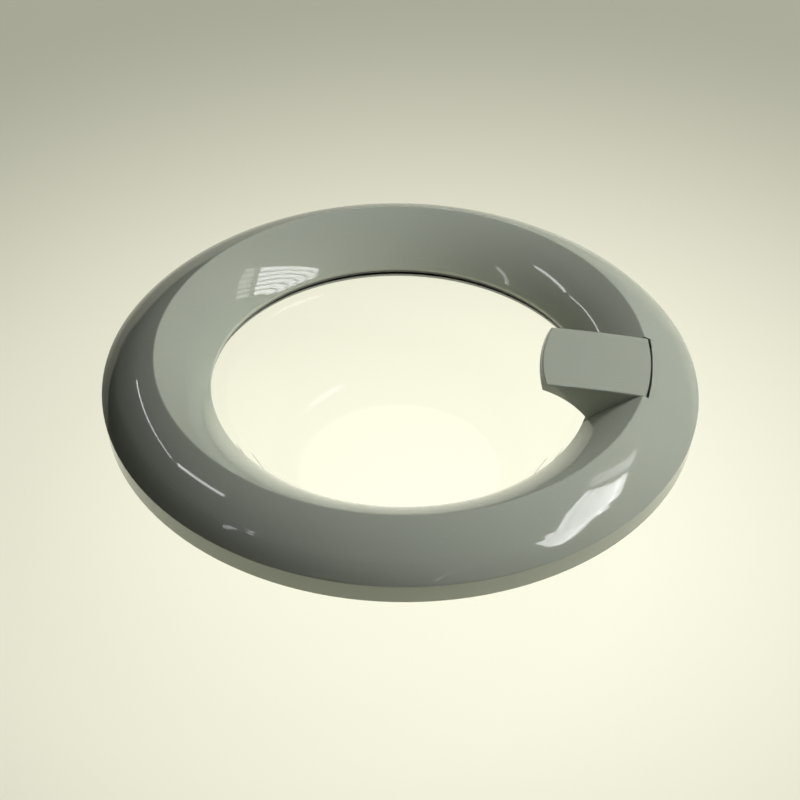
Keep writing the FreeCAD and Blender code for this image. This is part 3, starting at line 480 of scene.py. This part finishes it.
def floor():
    """A pale floor that glows where it is seen, so that it stays light and keeps the door's shadow; the glow
    is a painted pool of light near the door that fades to painted shade far away.
    """
    mesh = bpy.data.meshes.new("floor")
    half = FLOOR_SIZE / 2
    corners = [(-half, -half, 0), (half, -half, 0), (half, half, 0), (-half, half, 0)]
    mesh.from_pydata(corners, [], [(0, 1, 2, 3)])
    made = put("floor", mesh)
    material = bpy.data.materials.new("floor_paint")
    material.use_nodes = True
    tree = material.node_tree
    tree.nodes.clear()
    place = add(tree, "ShaderNodeTexCoord", {}).outputs["Object"]
    # painted pool of light: the glow is brightest about a spot near the door and fades to painted shade far
    # away
    apart = add(tree, "ShaderNodeVectorMath", {0: place, 1: FLOOR_LIGHT_POOL_CENTRE}, operation="DISTANCE")
    painted_falloff = add(tree, "ShaderNodeMapRange", {
        "Value": apart.outputs["Value"], "From Min": FLOOR_PAINTED_FALLOFF[0], "From Max": FLOOR_PAINTED_FALLOFF[1],
    }, interpolation_type="SMOOTHSTEP")
    colour = add(tree, "ShaderNodeMix", {
        "Factor": painted_falloff.outputs["Result"], MIX_A: FLOOR_PAINTED_LIGHT_NEAR, MIX_B: FLOOR_PAINTED_SHADE_FAR}, data_type="RGBA")
    path = add(tree, "ShaderNodeLightPath", {}).outputs
    seen = calc(tree, "ADD", path["Is Camera Ray"], path["Is Glossy Ray"])
    seen = calc(tree, "ADD", seen, path["Is Transmission Ray"], clamp=True)
    share = calc(tree, "MULTIPLY", seen, FLOOR_GLOW)
    # painted light: the glow is brighter where it is seen through the glass
    boost = add(tree, "ShaderNodeMapRange", {
        "Value": path["Is Transmission Ray"],
        "To Min": FLOOR_STRENGTH, "To Max": FLOOR_STRENGTH * GLASS_VIEW_PAINTED_LIGHT,
    })
    glow = add(tree, "ShaderNodeEmission", {
        "Color": colour.outputs[MIX_RESULT], "Strength": boost.outputs["Result"]})
    paint = add(tree, "ShaderNodeBsdfDiffuse", {"Color": FLOOR_PAINT})
    both = add(tree, "ShaderNodeMixShader", {0: share, 1: paint.outputs[0], 2: glow.outputs[0]})
    add(tree, "ShaderNodeOutputMaterial", {"Surface": both.outputs[0]})
    mesh.materials.append(material)


def sky():
    """A dim room, paler overhead in mirrors, with the floor's painted far shade where the view passes the
    floor.
    """
    world = bpy.data.worlds.new("studio")
    bpy.context.scene.world = world
    world.use_nodes = True
    tree = world.node_tree
    tree.nodes.clear()
    place = add(tree, "ShaderNodeTexCoord", {}).outputs["Generated"]
    path = add(tree, "ShaderNodeLightPath", {}).outputs
    overhead = add(tree, "ShaderNodeVectorMath", {0: place, 1: UP}, operation="DOT_PRODUCT")
    overhead = calc(tree, "MAXIMUM", overhead.outputs["Value"], 0.0)
    overhead = calc(tree, "POWER", overhead, SKY_MIRROR_POWER)
    mirror = calc(tree, "MULTIPLY", path["Is Glossy Ray"], SKY_MIRROR)
    total = calc(tree, "MULTIPLY_ADD", overhead, mirror, SKY_AMBIENT)
    light = add(tree, "ShaderNodeBackground", {"Color": (*LIGHT_COLOUR, 1.0), "Strength": total})
    seen = calc(tree, "ADD", path["Is Camera Ray"], path["Is Transmission Ray"], clamp=True)
    backdrop = add(tree, "ShaderNodeBackground", {"Color": FLOOR_PAINTED_SHADE_FAR, "Strength": 1.0})
    both = add(tree, "ShaderNodeMixShader", {0: seen, 1: light.outputs[0], 2: backdrop.outputs[0]})
    add(tree, "ShaderNodeOutputWorld", {"Surface": both.outputs[0]})


def area_light(name, corner, across, up, radiance):
    """A flat light from one corner and its two sides, shining to the ring, seen only in mirrors."""
    data = bpy.data.lights.new(name, "AREA")
    data.shape = "RECTANGLE"
    data.size = across.length
    data.size_y = up.length
    data.energy = radiance * math.pi * across.length * up.length
    data.color = LIGHT_COLOUR
    made = put(name, data)
    centre = corner + across / 2 + up / 2
    side = across.normalized()
    back = side.cross(up).normalized()
    if back.dot(centre) < 0:
        back = -back
    turn = Matrix((side, back.cross(side), back)).transposed()
    made.matrix_world = Matrix.Translation(centre + RIM) @ turn.to_4x4()
    made.visible_camera = False
    made.visible_transmission = False


def window():
    """A window with a blind: rows of flat lights in two columns, beside the handle, nearer at the foot."""
    row = (WINDOW_ROWS[1] - WINDOW_ROWS[0]) / WINDOW_SLATS
    near, far = WINDOW_DISTANCES
    right, left, _ = WINDOW_COLUMNS[0]
    face = toward((left + right) / 2, sum(WINDOW_ROWS) / 2)
    for c, (start, end, share) in enumerate(WINDOW_COLUMNS):
        drops = [WINDOW_TILT * max(0.0, left - azimuth) / (left - right) for azimuth in (start, end)]
        for r in range(WINDOW_SLATS):
            low = WINDOW_ROWS[0] + row * r
            high = low + row * (1 - SLAT_GAP)
            away = near + (far - near) * r / (WINDOW_SLATS - 1)
            corners = [(start, low - drops[0]), (end, low - drops[1]), (start, high - drops[0])]
            spots = [toward(*corner) for corner in corners]
            first, beside, above = [
                spot * (away / spot.dot(face)) + Vector(WINDOW_SEEN_FROM) for spot in spots]
            radiance = WINDOW_RADIANCE * share
            area_light(f"pane_{c}_{r}", first, beside - first, above - first, radiance)


def disk_light(name, place, along, size, radiance, colour):
    """A soft round lamp that shines along one direction and that no surface mirrors."""
    data = bpy.data.lights.new(name, "AREA")
    data.shape = "DISK"
    data.size = size
    data.energy = radiance * math.pi ** 2 * (size / 2) ** 2
    data.color = colour
    made = put(name, data)
    turn = (-along).to_track_quat("Z", "Y").to_matrix().to_4x4()
    made.matrix_world = Matrix.Translation(place) @ turn
    made.visible_camera = False
    made.visible_glossy = False
    made.visible_transmission = False


def tables():
    """Light from the pale floor: below the whole door, and through the bowl."""
    for i, (place, size, radiance) in enumerate(TABLES):
        disk_light(f"table_{i}", Vector(place), Vector(UP), size, radiance, TABLE_COLOUR)


def keys():
    """Soft lamps that give the plain light."""
    for i, (azimuth, elevation, radiance) in enumerate(KEYS):
        place = toward(azimuth, elevation) * KEY_DISTANCE
        disk_light(f"key_{i}", place + RIM, -place, KEY_SIZE, radiance, LIGHT_COLOUR)


def streaks():
    """Narrow lamps round the door, which draw thin lights on the ring."""
    for i, (start, end, width, radiance) in enumerate(STREAKS):
        first, last = [toward(*spot) * STREAK_DISTANCE for spot in (start, end)]
        along = last - first
        area_light(f"streak_{i}", first, along, along.cross(first).normalized() * width, radiance)


def camera():
    """A camera at the photograph's angle, distance and framing."""
    level_right = Vector((1, 0, 0))
    level_up = Vector((0, math.sin(CAMERA_ELEVATION), math.cos(CAMERA_ELEVATION)))
    back = Vector((0, -math.cos(CAMERA_ELEVATION), math.sin(CAMERA_ELEVATION)))
    right = math.cos(CAMERA_ROLL) * level_right + math.sin(CAMERA_ROLL) * level_up
    up = -math.sin(CAMERA_ROLL) * level_right + math.cos(CAMERA_ROLL) * level_up
    turn = Matrix.Rotation(CAMERA_TURN, 3, "Z") @ Matrix.Rotation(-CAMERA_TILT, 3, "Y")
    axes = [turn @ axis for axis in (right, up, back)]
    data = bpy.data.cameras.new("camera")
    data.sensor_width = CAMERA_SENSOR
    data.lens = CAMERA_LENS
    data.shift_x, data.shift_y = CAMERA_SHIFT
    made = put("camera", data)
    place = RIM + axes[2] * CAMERA_DISTANCE
    made.matrix_world = Matrix.Translation(place) @ Matrix(axes).transposed().to_4x4()
    bpy.context.scene.camera = made


screws()
spring("handle_spring_wire", "handle_spring", "handle", **HANDLE_SPRING)
spring("hook_spring_wire", "hook_spring", "hook", **HOOK_SPRING)
clips("handle_clip_pair", "handle_pin_clips", **HANDLE_CLIPS)
clips("hook_clip_pair", "hook_pin_clips", **HOOK_CLIPS)
clips("hinge_clip", "hinge_pin_clip", **HINGE_CLIP)
floor()
sky()
keys()
tables()
window()
streaks()
camera()
bpy.context.scene.view_settings.view_transform = "Standard"
